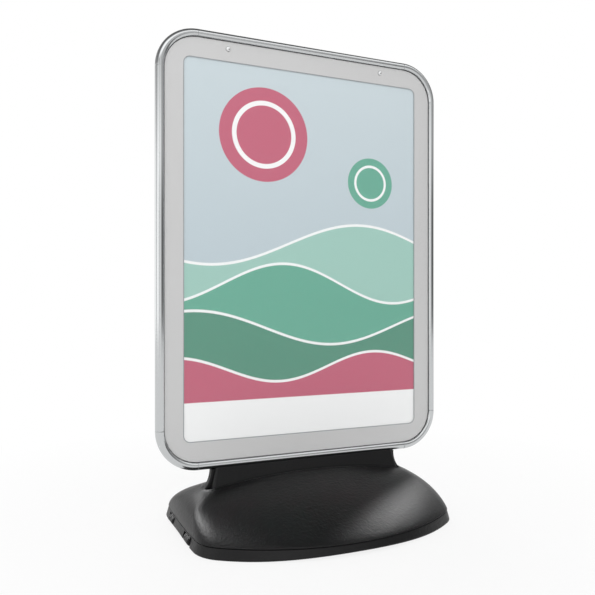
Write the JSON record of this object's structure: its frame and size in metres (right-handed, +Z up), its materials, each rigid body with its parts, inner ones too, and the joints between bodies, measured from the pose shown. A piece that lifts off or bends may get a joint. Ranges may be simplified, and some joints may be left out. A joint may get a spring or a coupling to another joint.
{
  "type": "forecourt poster sign",
  "caption": "Double-sided upright poster panel in a rounded metal rim, with lift-off clear covers, standing on a domed, fillable black base with transport wheels.",
  "frame": {"origin": "on the ground, under the middle of the panel", "axes": "+Z up; the panel stands in the XZ plane with its front towards -Y; transport wheels at the -X end"},
  "size_m": [0.694, 0.526, 1.077],
  "materials": {
    "rim_aluminium": "polished",
    "base_plastic": "satin, fine leather grain",
    "wheel_plastic": "satin",
    "plated_steel": "plated",
    "core_board": "matt",
    "poster_paper": "printed",
    "clear_cover": "clear, satin",
    "silver_border": "silver print",
    "magnet_strip": "matt",
    "gasket_rubber": "matt"
  },
  "bodies": {
    "base": {"top_rail": "rim_aluminium", "bottom_rail": "rim_aluminium", "left_rail": "rim_aluminium", "right_rail": "rim_aluminium", "top_left_corner": "rim_aluminium", "top_right_corner": "rim_aluminium", "bottom_left_corner": "rim_aluminium", "bottom_right_corner": "rim_aluminium", "core_board": "core_board", "anchor_bar": "plated_steel", "front_steel_sheet": "plated_steel", "front_poster": "poster_paper", "front_left_stud": "plated_steel", "front_right_stud": "plated_steel", "front_axle_pin": "plated_steel", "rear_steel_sheet": "plated_steel", "rear_poster": "poster_paper", "rear_left_stud": "plated_steel", "rear_right_stud": "plated_steel", "rear_axle_pin": "plated_steel", "left_bolt": "plated_steel", "left_washer": "plated_steel", "right_bolt": "plated_steel", "right_washer": "plated_steel", "base_shell": "base_plastic", "base_tray": "base_plastic"},
    "front_cover": {"front_cover_sheet": "clear_cover", "front_cover_border": "silver_border", "front_magnet_top": "magnet_strip", "front_magnet_bottom": "magnet_strip", "front_magnet_left": "magnet_strip", "front_magnet_right": "magnet_strip"},
    "front_wheel": {"front_wheel": "wheel_plastic"},
    "rear_cover": {"rear_cover_sheet": "clear_cover", "rear_cover_border": "silver_border", "rear_magnet_top": "magnet_strip", "rear_magnet_bottom": "magnet_strip", "rear_magnet_left": "magnet_strip", "rear_magnet_right": "magnet_strip"},
    "rear_wheel": {"rear_wheel": "wheel_plastic"},
    "filler_seal": {"filler_gasket": "gasket_rubber"},
    "filler_cap": {"filler_cap": "base_plastic"}
  },
  "joints": [
    {"name": "front_cover_pull", "type": "slide", "parent": "base", "child": "front_cover", "axis": [0, -1, 0], "range_m": [0, 0.12]},
    {"name": "rear_cover_pull", "type": "slide", "parent": "base", "child": "rear_cover", "axis": [0, 1, 0], "range_m": [0, 0.12]},
    {"name": "filler_seal_lift", "type": "slide", "parent": "base", "child": "filler_seal", "axis": [0.1066, 0.3664, 0.9243], "range_m": [0, 0.008]},
    {"name": "filler_cap_turn", "type": "hinge", "parent": "filler_seal", "child": "filler_cap", "pos_m": [0.13, 0.15, 0.06819], "axis": [0.1066, 0.3664, 0.9243], "range_deg": [0, 720]},
    {"name": "front_wheel_roll", "type": "hinge", "parent": "base", "child": "front_wheel", "pos_m": [-0.2915, -0.068, 0.0095], "axis": [0, 1, 0], "continuous": true},
    {"name": "rear_wheel_roll", "type": "hinge", "parent": "base", "child": "rear_wheel", "pos_m": [-0.2915, 0.068, 0.0095], "axis": [0, 1, 0], "continuous": true}
  ],
  "couplings": [
    {"joint": "filler_seal_lift", "follows": "filler_cap_turn", "m_per_rad": 0.0006366}
  ]
}
